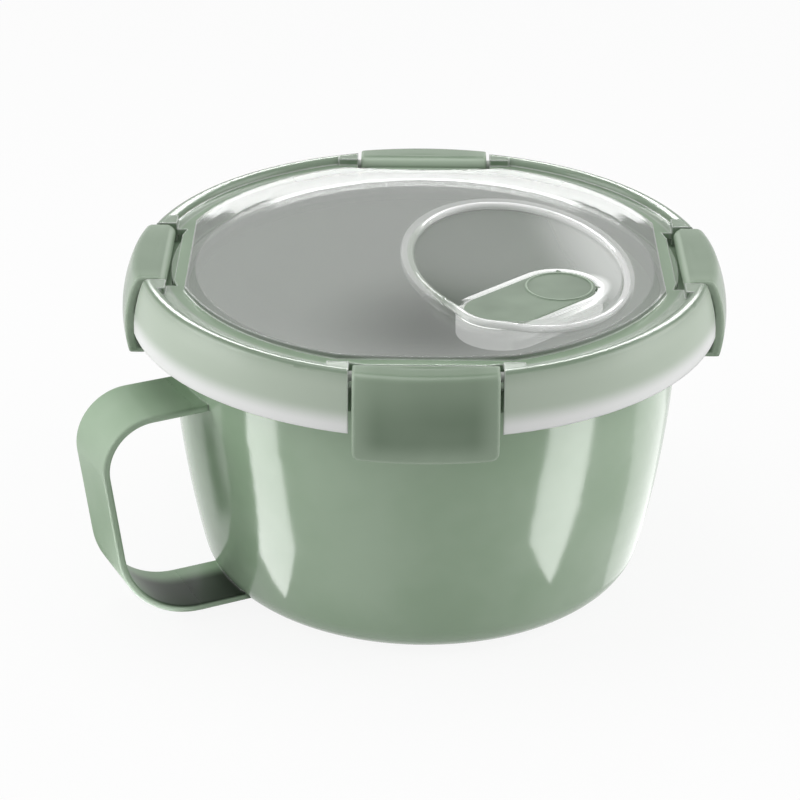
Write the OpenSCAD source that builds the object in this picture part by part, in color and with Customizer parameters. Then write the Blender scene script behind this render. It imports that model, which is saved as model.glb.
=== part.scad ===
// Soup mug: a round bowl with a strap handle, and a see-through lid that four
// hinged clips hold down on the rim. A small flap in the lid lets steam out.
// Origin at the middle of the base, on the table. The handle points along -X.

/* [Bowl] */
// Outer radius of the bowl at its widest
bowl_r = 68.4; // [60:0.1:80]
// Height of the rim above the table
rim_z = 84.2; // [74:0.1:100]
// Thickness of the wall and the base
wall = 2.2; // [1.5:0.1:3]
// Radius of the round corner between base and wall
base_corner_r = 11.5; // [6:0.5:16]
// Radius of the wall's slow curve, seen from the side
wall_bow_r = 299; // [200:1:500]
// How far below the rim the wall stands upright
wall_upright_drop = 8.2; // [2:0.1:14]
// Height of the turned-down edge outside the rim
apron_h = 5.2; // [4:0.1:7]
// Thickness of the rim and its turned-down edge
apron_t = 2; // [1.4:0.1:2.4]

/* [Handle] */
// Width of the strap
strap_w = 21; // [14:0.5:28]
// Thickness of the strap
strap_t = 2; // [1.6:0.1:3.5]
// Height of the strap's upper face above the table
strap_top_z = 63.4; // [55:0.1:66]
// Height of the strap's lower face above the table
strap_low_z = 2.7; // [1:0.1:6]
// How far the upper corner of the strap would stand out past the bowl if it were sharp
strap_top_reach = 30.4; // [24:0.1:40]
// How far the lower corner of the strap would stand out past the bowl if it were sharp
strap_low_reach = 22.6; // [18:0.1:34]
// Outer radius of the strap's upper bend
strap_top_bend_r = 14.2; // [8:0.1:18]
// Outer radius of the strap's lower bend
strap_low_bend_r = 23; // [12:0.1:26]

/* [Lid] */
// Angle from the handle to the clip beside it
lid_turn = 26; // [0:1:45]
// Height of the lid's ring above the bowl's rim
lid_h = 6.1; // [5.6:0.1:8]
// Thickness of the lid
lid_t = 1.8; // [1.2:0.1:2.2]
// How far the ring's lower edge stands out past the bowl
skirt_reach = 10.6; // [10.5:0.1:12.6]
// How far the skirt hangs below the bowl's rim
skirt_drop = 9.4; // [8:0.1:11]
// Radius of the skirt's bulge, seen from the side
skirt_bow_r = 40; // [34:1:60]
// Radius of the round top edge of the ring
crest_r = 1.9; // [1.4:0.1:2.2]
// How far the round edge of the middle panel reaches out past the bowl's mouth
panel_lap = 0.3; // [0.1:0.05:0.8]
// How far the panel's four straight sides lie inside its round edge
panel_flat_in = 3.8; // [2.5:0.1:4.6]
// How far the middle of the panel lies below the top of the ring
panel_drop = 2.3; // [1.8:0.1:2.6]
// Width of the panel's rising edge
panel_slope_w = 20; // [12:0.5:26]
// Rise of the panel's edge above its middle
panel_rise = 1.8; // [0.8:0.1:1.9]
// Depth of the groove between panel and ring
moat_d = 1.9; // [1.2:0.1:2.2]
// Depth of the plug wall below the bowl's rim
plug_d = 3.8; // [3.2:0.1:5]
// Thickness of the plug wall
plug_t = 1.8; // [1.2:0.1:2.2]
// Height of the sealing ring
seal_h = 2.4; // [1.6:0.1:2.6]

/* [Clips] */
// Width of a clip
clip_w = 36.3; // [28:0.1:42]
// Thickness of a clip
clip_t = 2.3; // [1.8:0.1:2.6]
// How far a clip stands out past the ring's lower edge
clip_proud = 2; // [1.6:0.1:4]
// Height of the clip's widest line below the bowl's rim
clip_bulge_drop = 8.2; // [6:0.1:10]
// Radius of the clip's bulge, seen from the side
clip_bow_r = 32; // [28:1:45]
// Radius of the clip's upper edge
clip_shoulder_r = 2; // [1:0.1:2.5]
// How far the clip reaches below the bowl's rim
clip_drop = 16.2; // [14:0.1:20]
// Radius on the lower corners of the clip
clip_corner_r = 2; // [0.5:0.1:5]
// Height of the hook
hook_h = 3; // [2:0.1:4]
// Radius of the hinge pin
pin_r = 1.3; // [1:0.05:1.6]
// Radius of the barrel around the hinge pin
barrel_r = 2.7; // [2.4:0.05:2.8]
// How far the hinge pin runs into the lid at each end
pin_grip = 3.5; // [2.5:0.1:5]

/* [Vent] */
// Place of the scoop's middle on the lid: to the right
scoop_x = 24.5; // [20:0.1:26]
// Place of the scoop's middle on the lid: to the rear
scoop_y = -0.6; // [-6:0.1:6]
// Half the length of the scoop's rim
scoop_half_l = 40.5; // [34:0.1:44]
// Half the width of the scoop's rim
scoop_half_w = 27; // [22:0.1:29]
// Depth of the scoop
scoop_d = 5.2; // [4:0.1:6]
// Angle of the scoop's long direction
scoop_turn = 12; // [0:1:30]
// Thickness of the scoop and pocket
scoop_t = 1.5; // [1:0.1:2]
// Radius of the flap's round ends
flap_r = 9.6; // [8:0.1:10.5]
// Distance between the middles of the flap's round ends
flap_span = 22; // [18:0.1:26]
// Thickness of the flap
flap_t = 1.4; // [1.2:0.1:1.8]
// How far the flap lies below the panel
flap_drop = 1.7; // [1:0.1:2.2]
// Angle of the flap on the lid
flap_turn = 44; // [20:1:60]
// Place of the flap's middle on the lid: to the right
flap_x = 27.5; // [25:0.1:30]
// Place of the flap's middle on the lid: to the rear
flap_y = -20.5; // [-24:0.1:-16]
// Depth of the pocket under the flap
pocket_d = 4.6; // [4:0.1:5.5]
// Radius of the steam hole
vent_r = 2; // [1:0.1:2.4]
// Radius of the raised ring on the flap
mark_r = 9; // [6:0.1:9.2]

/* [Fits] */
// Gap between a clip and each side of its notch
notch_gap = 0.9; // [0.4:0.05:1.5]
// Gap around a hinge pin
pin_gap = 0.05; // [0.03:0.01:0.08]
// Gap between the skirt and the rim's turned-down edge
skirt_gap = 1.6; // [1.4:0.05:2]
// Gap between the sealing ring and the bowl
seal_gap = 0.35; // [0.2:0.05:0.5]
// Gap around a seal where it is seated
seat_gap = 0.05; // [0.02:0.01:0.1]
// Gap between a clip's barrel and the lid behind it
barrel_gap = 0.3; // [0.2:0.05:0.5]
// Gap between the hook's upper face and the lower edge of the rim
hook_play = 1; // [0.6:0.05:1.4]
// Gap between the hook's tip and the rim's turned-down edge
hook_gap = 0.3; // [0.2:0.05:0.6]
// Gap around the flap in its pocket
flap_gap = 0.6; // [0.5:0.05:0.8]

/* [Hidden] */
$fn = 96;
// Run-out of every cut past the face it opens
over = 1;
// Colours of the green plastic, the see-through plastic, the seals and the pins
green = [0.55, 0.64, 0.54];
clear = [0.80, 0.84, 0.80, 0.45];
soft = [0.62, 0.72, 0.61];
white = [0.88, 0.89, 0.87];

// Bowl: centre of the wall's curve, and where it runs into the base corner
wall_cx = bowl_r - wall_bow_r;
wall_cz = rim_z - wall_upright_drop;
corner_drop = wall_cz - base_corner_r;
corner_arm = wall_bow_r - base_corner_r;
corner_cx = wall_cx + sqrt(corner_arm * corner_arm - corner_drop * corner_drop);
corner_dir = [corner_cx - wall_cx, -corner_drop] / corner_arm;
function corner_end(inset) = [wall_cx, wall_cz] + (wall_bow_r - inset) * corner_dir;
mouth_r = bowl_r - wall;

// Handle: its lean, the centres of its two bends, and the steps in which a bend turns
strap_top_x = bowl_r + strap_top_reach;
strap_low_x = bowl_r + strap_low_reach;
lean = atan2(strap_top_x - strap_low_x, strap_top_z - strap_low_z);
top_bend_cx = strap_top_x - strap_top_bend_r * (1 + sin(lean)) / cos(lean);
low_bend_cx = strap_low_x - strap_low_bend_r * (1 - sin(lean)) / cos(lean);
top_bend_c = [top_bend_cx, strap_top_z - strap_top_bend_r];
low_bend_c = [low_bend_cx, strap_low_z + strap_low_bend_r];
bend_steps = 18;
function bend(centre, radius, from, to) = [for (step = [0 : bend_steps])
    let (turn = from + (to - from) * step / bend_steps) centre + radius * [cos(turn), sin(turn)]];
// The strap's outer line from the upper root to the lower one, or its inner line when inset
function strap_line(inset) = concat(
    [[mouth_r, strap_top_z - inset]],
    bend(top_bend_c, strap_top_bend_r - inset, 90, -lean),
    bend(low_bend_c, strap_low_bend_r - inset, -lean, -90),
    [[corner_cx, strap_low_z + inset]]);

// Lid: heights, from the rim up
lid_top = rim_z + lid_h;
skirt_z = rim_z - skirt_drop;
skirt_r = bowl_r + skirt_reach;
skirt_cx = skirt_r - skirt_bow_r;
panel_z = lid_top - panel_drop;
moat_z = lid_top - moat_d;
moat_low_z = moat_z - lid_t;
crest_z = lid_top - crest_r;
crest_up = crest_z - skirt_z;
crest_arm = skirt_bow_r - crest_r;
crest_cx = skirt_cx + sqrt(crest_arm * crest_arm - crest_up * crest_up);
crest_end_z = skirt_z + crest_up * skirt_bow_r / crest_arm;
panel_r = mouth_r + panel_lap;
panel_flat = panel_r - panel_flat_in;
panel_level_r = panel_r - panel_slope_w;
panel_bow_r = (panel_slope_w * panel_slope_w / panel_rise + panel_rise) / 2;
panel_bend = asin(panel_slope_w / panel_bow_r);
panel_steps = 6;

// Rim: its turned-down edge keeps an even gap to the skirt
apron_z = rim_z - apron_h;
apron_bow_r = skirt_bow_r - lid_t - skirt_gap;
apron_drop_z = apron_z - skirt_z;
apron_r = skirt_cx + sqrt(apron_bow_r * apron_bow_r - apron_drop_z * apron_drop_z);

// Hinge line of a clip
pin_z = lid_top - barrel_r;
seat_t = 1.3;
seat_step = 0.2;
seat_r = mouth_r + seat_step + seat_t;
pin_x = seat_r + barrel_gap + barrel_r;
bore_r = pin_r + pin_gap;
notch_w = clip_w + 2 * notch_gap;
pin_l = notch_w + 2 * pin_grip;
lug_end_t = 2;
lug_l = pin_grip + lug_end_t;
lug_z = pin_z - barrel_r + seat_gap;
groove_d = 1.4;
groove_w = 1.7;
groove_z = moat_z - groove_d;
groove_x = seat_r - groove_w;

// Clip: its bulge, its upper edge and its hook
clip_r = skirt_r + clip_proud;
clip_cx = clip_r - clip_bow_r;
clip_cz = rim_z - clip_bulge_drop;
clip_low_z = rim_z - clip_drop;
clip_sh_z = lid_top - clip_shoulder_r;
clip_sh_up = clip_sh_z - clip_cz;
clip_sh_arm = clip_bow_r - clip_shoulder_r;
clip_sh_x = clip_cx + sqrt(clip_sh_arm * clip_sh_arm - clip_sh_up * clip_sh_up);
clip_sh_end_z = clip_cz + clip_sh_up * clip_bow_r / clip_sh_arm;
hook_swing_r = norm([apron_r - pin_x, pin_z - apron_z]) + hook_play;
hook_x = apron_r + hook_gap;
hook_top_z = apron_z + hook_h;
hook_low_z = pin_z - hook_swing_r - hook_h + hook_play;
lip_share = 0.8;
lip_h = clip_t * lip_share;

// Plug and its sealing ring
plug_low_z = rim_z - plug_d;
seal_out_r = mouth_r - seal_gap;
seal_lip_share = 0.2;
seal_lip_r = seal_h * seal_lip_share;
seal_w = 2.6;
plug_r = seal_out_r - seal_w - seat_gap;
plug_foot_h = 1.1;

// Scoop: a spindle whose axis lies level above the panel
scoop_b = (scoop_half_w * scoop_half_w / scoop_d + scoop_d) / 2;
scoop_axis_h = scoop_b - scoop_d;
scoop_bow_r = (scoop_half_l * scoop_half_l / scoop_d + scoop_d) / 2;

// Flap and its pocket
flap_z = panel_z - flap_drop;
flap_low_z = flap_z - flap_t;
flap_axis_z = flap_z - flap_t / 2;
hinge_place_share = 0.76;
flap_axis_x = flap_span / 2 + flap_r * hinge_place_share;
flap_axis_half = flap_r * sqrt(1 - hinge_place_share * hinge_place_share);
pocket_z = flap_z - pocket_d;
trunnion_r = flap_t / 2;
trunnion_grip = 1;
vent_place_share = -0.125;
vent_x = flap_span * vent_place_share;
boss_wall = 2.5;
boss_r = vent_r + boss_wall;
vent_seal_h = 0.8;
vent_seal_step = 0.5;
mark_t = 0.5;
mark_h = 0.25;

// Bowl

// The bowl's outer shape, or its hollow when inset by the wall
module bowl_outline(inset, top_z) {
    knee = corner_end(inset);
    intersection() {
        translate([wall_cx, wall_cz]) circle(r = wall_bow_r - inset, $fn = 720);
        translate([0, knee.y]) square([bowl_r, top_z - knee.y]);
    }
    intersection() {
        translate([corner_cx, base_corner_r]) circle(r = base_corner_r - inset);
        translate([0, inset]) square([bowl_r, knee.y - inset]);
    }
    polygon([[0, inset], [corner_cx, inset], [corner_cx, base_corner_r], knee, [0, knee.y]]);
}

// The rim with its turned-down edge
module rim_outline() {
    intersection() {
        difference() {
            translate([skirt_cx, skirt_z]) circle(r = apron_bow_r);
            translate([skirt_cx, skirt_z]) circle(r = apron_bow_r - apron_t);
        }
        translate([bowl_r, apron_z]) square([clip_r - bowl_r, apron_h]);
    }
    intersection() {
        translate([skirt_cx, skirt_z]) circle(r = apron_bow_r);
        translate([mouth_r, rim_z - apron_t]) square([clip_r - mouth_r, apron_t]);
    }
}

// The strap stands upright, with its width across
module strap() {
    inner = strap_line(strap_t);
    back = [for (step = [len(inner) - 1 : -1 : 0]) inner[step]];
    rotate([0, 0, 180]) rotate([90, 0, 0]) translate([0, 0, -strap_w / 2])
        linear_extrude(height = strap_w) polygon(concat(strap_line(0), back));
}

module bowl() color(green) difference() {
    union() {
        rotate_extrude($fn = 192) union() {
            bowl_outline(0, rim_z);
            rim_outline();
        }
        strap();
    }
    rotate_extrude($fn = 192) bowl_outline(wall, rim_z + over);
}

// Lid

// Turns a shape to a clip's place: 0 right, 1 rear, 2 left, 3 front
module at_clip(place) rotate([0, 0, 90 * place - lid_turn]) children();

// A block reaching across a clip's place, between two distances from the axis
module across(from_x, to_x, width, low_z, high_z)
    translate([from_x, -width / 2, low_z]) cube([to_x - from_x, width, high_z - low_z]);

// The middle panel in section: level, then rising slowly to its edge in short slopes
module panel_outline() {
    edge = [for (step = [0 : panel_steps]) let (turn = panel_bend * step / panel_steps)
        [panel_level_r + panel_bow_r * sin(turn), panel_z + panel_bow_r * (1 - cos(turn))]];
    under = [for (step = [panel_steps : -1 : 0]) edge[step] - [0, lid_t]];
    polygon(concat([[0, panel_z]], edge, under, [[0, panel_z - lid_t]]));
}

// The floor under the panel's edge, the wall that sits on the rim, and the plug, in section
module floor_outline() {
    inner_r = plug_r - plug_t;
    translate([inner_r, moat_low_z]) square([seat_r - inner_r, lid_t]);
    translate([seat_r - seat_t, rim_z]) square([seat_t, moat_z - rim_z]);
    translate([inner_r, plug_low_z]) square([plug_t, moat_z - plug_low_z]);
    translate([inner_r, plug_low_z]) square([plug_t + plug_foot_h, plug_foot_h]);
}

// The outer ring with its skirt, in section
module ring_outline() {
    inner_r = seat_r - seat_t / 2;
    translate([inner_r, moat_low_z]) square([crest_cx - inner_r, lid_t]);
    translate([crest_cx, crest_z]) circle(r = crest_r);
    intersection() {
        difference() {
            translate([skirt_cx, skirt_z]) circle(r = skirt_bow_r, $fn = 180);
            translate([skirt_cx, skirt_z]) circle(r = skirt_bow_r - lid_t, $fn = 180);
        }
        translate([panel_r, skirt_z]) square([skirt_r - panel_r, crest_end_z - skirt_z]);
    }
}

// The panel has a straight side facing each clip
module panel() intersection() {
    rotate_extrude($fn = 192) panel_outline();
    rotate([0, 0, -lid_turn]) translate([-panel_flat, -panel_flat, rim_z])
        cube([2 * panel_flat, 2 * panel_flat, lid_h + over]);
}

// The floor, lowered beside each clip so that the clip can swing right open
module lid_floor() difference() {
    rotate_extrude($fn = 192) floor_outline();
    for (place = [0 : 3]) at_clip(place)
        across(groove_x, seat_r + over, notch_w, groove_z, lid_top + over);
}

// The ring, with a notch for each clip
module lid_ring() difference() {
    rotate_extrude($fn = 192) ring_outline();
    for (place = [0 : 3]) at_clip(place)
        across(panel_flat, clip_r + over, notch_w, skirt_z - over, lid_top + over);
}

// The ring filled from the groove's inner side into the skirt, in section
module lug_outline() {
    translate([panel_r, lug_z]) square([crest_cx - panel_r, lid_top - seat_gap - lug_z]);
    intersection() {
        translate([skirt_cx, skirt_z]) circle(r = skirt_bow_r - lid_t / 2, $fn = 180);
        translate([panel_r, lug_z]) square([skirt_r - panel_r, crest_z - lug_z]);
    }
}

// The two blocks at the ends of a notch that hold the hinge pin
module clip_lugs() difference() {
    intersection() {
        rotate_extrude($fn = 192) lug_outline();
        across(seat_r, clip_r, notch_w + 2 * lug_l, lug_z - over, lid_top + over);
    }
    across(seat_r - over, clip_r + over, notch_w, lug_z - 2 * over, lid_top + 2 * over);
}

// A hole or pin on a clip's hinge line
module hinge_rod(radius, length)
    translate([pin_x, length / 2, pin_z]) rotate([90, 0, 0]) cylinder(r = radius, h = length);

// The scoop's hollow, or its outside when grown by its thickness
module scoop(grow)
    translate([scoop_x, scoop_y, panel_z + scoop_axis_h]) rotate([0, 0, scoop_turn]) rotate([-90, 0, 0])
        rotate_extrude($fn = 360) intersection() {
            translate([scoop_b - scoop_bow_r, 0]) circle(r = scoop_bow_r + grow, $fn = 720);
            translate([0, -2 * scoop_half_l]) square([scoop_b + grow, 4 * scoop_half_l]);
        }

// Places a shape on the flap: its long direction along X, the hinged end at +X
module at_flap() translate([flap_x, flap_y, 0]) rotate([0, 0, flap_turn]) children();

// The flap's outline, grown by a gap
module stadium(grow, low_z, high_z) {
    for (end = [-1, 1])
        translate([end * flap_span / 2, 0, low_z]) cylinder(r = flap_r + grow, h = high_z - low_z);
    translate([-flap_span / 2, -flap_r - grow, low_z])
        cube([flap_span, 2 * (flap_r + grow), high_z - low_z]);
}

// A rod on the flap's hinge line
module flap_rod(radius, half)
    translate([flap_axis_x, half, flap_axis_z]) rotate([90, 0, 0])
        cylinder(r = radius, h = 2 * half, $fn = 48);

module lid() color(clear) difference() {
    union() {
        panel();
        lid_floor();
        lid_ring();
        for (place = [0 : 3]) at_clip(place) clip_lugs();
        rotate([0, 0, -lid_turn]) {
            intersection() {
                scoop(scoop_t);
                translate([0, 0, plug_low_z]) cylinder(r = plug_r - plug_t / 2, h = panel_z - plug_low_z);
            }
            at_flap() stadium(flap_gap + scoop_t, pocket_z - scoop_t, flap_z);
        }
    }
    for (place = [0 : 3]) at_clip(place) hinge_rod(bore_r, pin_l + 2 * pin_gap);
    rotate([0, 0, -lid_turn]) {
        difference() {
            scoop(0);
            at_flap() stadium(flap_gap + scoop_t, pocket_z - scoop_t, flap_z);
        }
        at_flap() {
            stadium(flap_gap, pocket_z, lid_top + over);
            translate([vent_x, 0, pocket_z - scoop_t - over]) cylinder(r = vent_r, h = scoop_t + 2 * over);
            flap_rod(trunnion_r + pin_gap, flap_axis_half + flap_gap + trunnion_grip + pin_gap);
        }
    }
}

module lid_seal() color(soft) rotate_extrude($fn = 192) {
    low_z = plug_low_z + plug_foot_h + seat_gap;
    inner_r = plug_r + seat_gap;
    lip_x = seal_out_r - seal_lip_r;
    translate([inner_r, low_z]) square([lip_x - 2 * seal_lip_r - inner_r, seal_h]);
    for (lip_z = [seal_lip_r, seal_h - seal_lip_r]) {
        translate([lip_x, low_z + lip_z]) circle(r = seal_lip_r, $fn = 32);
        translate([inner_r, low_z + lip_z - seal_lip_r]) square([lip_x - inner_r, 2 * seal_lip_r]);
    }
}

// Clips

// A clip seen from its end
module clip_outline() {
    plate_x = pin_x + pin_r;
    translate([plate_x, lid_top - clip_t]) square([clip_sh_x - plate_x, clip_t]);
    translate([clip_sh_x, clip_sh_z]) circle(r = clip_shoulder_r);
    intersection() {
        difference() {
            translate([clip_cx, clip_cz]) circle(r = clip_bow_r, $fn = 180);
            translate([clip_cx, clip_cz]) circle(r = clip_bow_r - clip_t, $fn = 180);
        }
        translate([mouth_r, clip_low_z]) square([clip_r - mouth_r, clip_sh_end_z - clip_low_z]);
    }
    intersection() {
        translate([clip_cx, clip_cz]) circle(r = clip_bow_r - clip_t / 2, $fn = 180);
        difference() {
            translate([hook_x, hook_low_z]) square([clip_r - hook_x, hook_top_z - hook_low_z]);
            translate([pin_x, pin_z]) circle(r = hook_swing_r);
        }
    }
    lip_x = hook_x + lip_h / 2;
    translate([lip_x, clip_low_z]) square([clip_r - clip_t - lip_x, lip_h]);
    translate([lip_x, clip_low_z + lip_h / 2]) circle(r = lip_h / 2, $fn = 32);
}

// A clip's face, with round lower corners
module clip_face() {
    face_h = lid_top - clip_low_z;
    translate([-clip_w / 2, clip_low_z + clip_corner_r]) square([clip_w, face_h - clip_corner_r]);
    translate([-clip_w / 2 + clip_corner_r, clip_low_z]) square([clip_w - 2 * clip_corner_r, face_h]);
    for (side = [-1, 1])
        translate([side * (clip_w / 2 - clip_corner_r), clip_low_z + clip_corner_r])
            circle(r = clip_corner_r);
}

module clip(place) color(green) at_clip(place) difference() {
    union() {
        intersection() {
            rotate([0, 0, -90]) rotate_extrude(angle = 180, $fn = 192) clip_outline();
            rotate([90, 0, 90]) linear_extrude(height = clip_r + over) clip_face();
        }
        hinge_rod(barrel_r, clip_w);
    }
    hinge_rod(bore_r, clip_w + 2 * over);
}

module clip_pin(place) color(white) at_clip(place) hinge_rod(pin_r, pin_l);

// Vent

module vent_flap() color(green) rotate([0, 0, -lid_turn]) at_flap() {
    seal_top_z = pocket_z + vent_seal_h + 2 * seat_gap;
    stadium(0, flap_low_z, flap_z);
    translate([vent_x, 0, seal_top_z]) cylinder(r = boss_r, h = flap_axis_z - seal_top_z);
    flap_rod(trunnion_r, flap_axis_half + flap_gap + trunnion_grip);
    translate([flap_span / 2, 0, flap_axis_z]) difference() {
        cylinder(r = mark_r, h = flap_t / 2 + mark_h);
        cylinder(r = mark_r - mark_t, h = flap_t / 2 + 2 * mark_h);
    }
}

module vent_seal() color(soft) rotate([0, 0, -lid_turn]) at_flap()
    translate([vent_x, 0, pocket_z]) difference() {
        cylinder(r = boss_r + vent_seal_step, h = vent_seal_h);
        translate([0, 0, -over]) cylinder(r = vent_r + vent_seal_step, h = vent_seal_h + 2 * over);
    }

bowl();
lid();
lid_seal();
clip(3);  // front_clip
clip(0);  // right_clip
clip(1);  // rear_clip
clip(2);  // left_clip
clip_pin(3);  // front_clip_pin
clip_pin(0);  // right_clip_pin
clip_pin(1);  // rear_clip_pin
clip_pin(2);  // left_clip_pin
vent_flap();
vent_seal();
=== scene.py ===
"""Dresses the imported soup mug: green mouldings, a see-through lid, rounded clips and a small studio."""

import math
from types import SimpleNamespace

import bpy
from mathutils import Matrix, Vector


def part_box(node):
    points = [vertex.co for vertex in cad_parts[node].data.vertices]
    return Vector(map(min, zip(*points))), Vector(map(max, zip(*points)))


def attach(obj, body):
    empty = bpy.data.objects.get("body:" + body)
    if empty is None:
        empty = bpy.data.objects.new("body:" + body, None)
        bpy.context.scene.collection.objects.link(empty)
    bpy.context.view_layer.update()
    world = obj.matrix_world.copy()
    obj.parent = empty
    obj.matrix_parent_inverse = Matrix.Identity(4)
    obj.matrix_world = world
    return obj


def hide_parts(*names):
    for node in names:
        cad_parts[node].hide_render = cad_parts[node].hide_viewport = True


bl_info = {
    "name": "Soup Mug Dressing",
    "version": (1, 0, 0),
    "blender": (4, 5, 0),
    "location": "View3D > Sidebar > Mug",
    "description": "Gives the packed soup mug its plastics, rounded mouldings and studio",
    "category": "Object",
}

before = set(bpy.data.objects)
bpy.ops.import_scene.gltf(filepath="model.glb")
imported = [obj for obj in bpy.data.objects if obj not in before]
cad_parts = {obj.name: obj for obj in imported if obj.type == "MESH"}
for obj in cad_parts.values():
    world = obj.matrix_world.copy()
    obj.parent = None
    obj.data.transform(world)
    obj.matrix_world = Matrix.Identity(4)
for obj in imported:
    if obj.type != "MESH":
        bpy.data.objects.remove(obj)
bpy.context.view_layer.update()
MM = 0.001
BLACK = (0.0, 0.0, 0.0, 1.0)
PLASTIC_IOR = 1.5

# Places in the part's frame; the lid is turned so that its clips lie square to the photograph
MUG_AXIS = (0.0, 0.0, 0.0)
TO_HANDLE = (-1.0, 0.0, 0.0)
TO_REAR = (0.0, 1.0, 0.0)
LID_TURN = math.radians(26)
CLIP_PLACES = ("front", "right", "rear", "left")
CLIP_LOW, CLIP_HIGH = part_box("front_clip")

# Green plastic; lumps are per metre, and an edge line, a painted highlight along the edges, has a share
# and two limits of its turn
FLOW_LUMPS = 34.0
FLOW_CLOUDS = (0.3, 0.75)
FLOW_ROUGHNESS = 0.08
SKIN_LUMPS = 2600.0
SKIN_DEPTH = 0.006 * MM
SKIN_ROUGHNESS = 0.04
FINE_DETAIL = 2.0
EDGE_TURN = (0.015, 0.12)
SOFT_HIGHLIGHT = (0.55, *EDGE_TURN)
CLIP_HIGHLIGHT = (0.95, 0.008, 0.05)
CLIP_FLOW = 0.12
CLIP_ROUGHER = 0.1
FLAP_ROUGHER = 0.08
FLAP_EDGE = 0.4 * MM
PIN_ROUGHNESS = 0.4

# The strap handle: its satin, the painted shade in its loop, and its flat sides
STRAP_START = (64.0 * MM, 76.0 * MM)
LOOP_START = (54.0 * MM, 58.0 * MM)
LOOP_LOW = (7.0 * MM, 22.0 * MM)
LOOP_FRONT = (1.5 * MM, 7.5 * MM)
LOOP_FACING = (0.25, 0.95)
STRAP_INNER = -50.0 * MM
STRAP_FLAT = 0.9995
STRAP_SEGMENTS = 3
ON_FLANK = 0.01 * MM
SAME_PLANE = math.radians(0.5)
SMOOTH_UNDER = math.radians(32)

# The clips' and the flap's paler places, which are painted highlights; the head's limits are in margins
# below the top
HEAD_MARGINS = (1.6, 0.2)
HEAD_SHARE = 0.6
BACK_SHARE = 0.6
BACK_BLEND = 1.2 * MM
CORNER_BLEND = (2.0 * MM, 1.0 * MM)
MARK_BLEND = 0.15 * MM

# Regions of the lid: radii from its axis, heights, and reaches from the flap's middle line
RING_START = (69.2 * MM, 70.6 * MM)
CROWN_END = (74.5 * MM, 77.5 * MM)
HEM_TOP = (76.4 * MM, 81.2 * MM)
GROOVE_START = (60.5 * MM, 62.0 * MM)
GROOVE_TOP = (88.5 * MM, 88.8 * MM)
PLUG_TOP = (86.7 * MM, 86.9 * MM)
ROOT_HEIGHT = (86.9 * MM, 88.1 * MM)
ROOT_HEIGHT_BLEND = 0.1 * MM
ROOT_RADIUS = (58.0 * MM, 65.0 * MM)
ROOT_RADIUS_BLEND = 0.5 * MM
PANEL_UNDERSIDE = (86.2 * MM, 86.8 * MM)
POCKET_WALL = (10.0 * MM, 12.0 * MM)
POCKET_WALL_BLEND = 0.3 * MM
POCKET_CLEAR = (15.0 * MM, 20.0 * MM)
POCKET_CHEEK = (10.2 * MM, 13.4 * MM)
POCKET_CHEEK_BLEND = 0.8 * MM
LEVEL_FACE = (0.3, 0.8)
LEVEL_LESS = 0.6

# Regions of the scoop, in shares of its half width and its half length
SCOOP_EDGE = (0.97, 1.03)
SCOOP_LIP = (0.9, 1.25)
SCOOP_LIP_BLEND = 0.06
SCOOP_FLANK = (0.3, 1.0)
SCOOP_DEEP = (-0.7, 0.4)
SCOOP_CHEEK = (0.1, 0.55)

# See-through plastic: how pale, how dense and how rough its regions are; the pale edges, flank and cheek
# are painted highlights, and the panel's dark is painted shade
LID_LUMPS = 22.0
FROST_LUMPS = 1900.0
FROST_DEPTH = 0.01 * MM
PANEL_CLOUDS = 0.25
SHADE_DARK = 0.37
EDGE_HIGHLIGHT = 0.7
FLANK_HIGHLIGHT = 0.65
CHEEK_HIGHLIGHT = 0.8
FLANK_COVER = 0.25
CHEEK_COVER = 0.35
DEEP_CLEAR = 0.1
SCOOP_ROUGHER = 0.6
LIP_ROUGHER = 0.35
CLOUD_ROUGHER = 0.03
CROWN_SMOOTHER = 0.18

# The bead on the scoop's edge, with a painted highlight at its ends and one side, and the edges of the lid
# that it follows
BEAD_LUMPS = 60.0
BEAD_ENDS = (0.35, 0.95)
BEAD_SIDE = (0.2, 0.8)
BEAD_CLOUD_ROUGHER = 0.06
BEAD_CLOUD_COVER = 0.1
BEAD_END_COVER = 0.4
BEAD_RESOLUTION = 5
RIM_SHARP = math.radians(9)
RIM_SHARES = (0.97, 1.25)
RIM_BELOW = 0.1 * MM
RIM_LEAST_POINTS = 50
RIM_CUTS = 1
RIM_PASSES = 20

# Rubber of the seals
RUBBER_LUMPS = 1400.0
RUBBER_DARK = 0.86
RUBBER_ROUGHNESS = 0.62
RUBBER_GRAIN = 0.16
RUBBER_DEPTH = 0.03 * MM

# Mesh work
MERGE_WITHIN = 0.001 * MM
SMOOTHING = 0.5

# Studio, as the photograph sees it: right, away and up; card corners in millimetres, the rest in metres
LEFT_CARD = ((-47, -50), (-77, -41), (-112, -43), (-210, -47), (-210, -114), (-104, -81), (-64, -66))
RIGHT_CARD = ((51, -57), (60, -81), (94, -102), (180, -142), (200, -66), (119, -63), (96, -60))
FAR_RIGHT_CARD = ((55, -31), (115, -5), (200, 22), (200, 120), (109, 72), (66, 12))
DARK_FLAG = ((-60, -40), (-60, 40), (-170, 40), (-170, -40))
CARD_LIFT = 0.3 * MM
FLAG_MIDDLE = (-0.112, -0.004)
FLAG_RUN = (-0.864, 0.508)
FLAG_ASIDE = (0.508, 0.864)
FLAG_SIDE = (3.0 * MM, 15.0 * MM)
FLAG_ENDS = (-28.0 * MM, 40.0 * MM)
FLAG_END_BLEND = 8.0 * MM
REAR_SPOT = (0.04, 0.75, 0.68)
REAR_SIZE = (1.22, 0.3)
LAMP_AIM = (0.0, 0.0, 0.05)
OVERHEAD_SPOT = (-0.1, 0.1, 0.9)
OVERHEAD_SIZE = (0.6, 0.6)
LEFT_SPOT = (-0.75, -0.05, 0.35)
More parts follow.
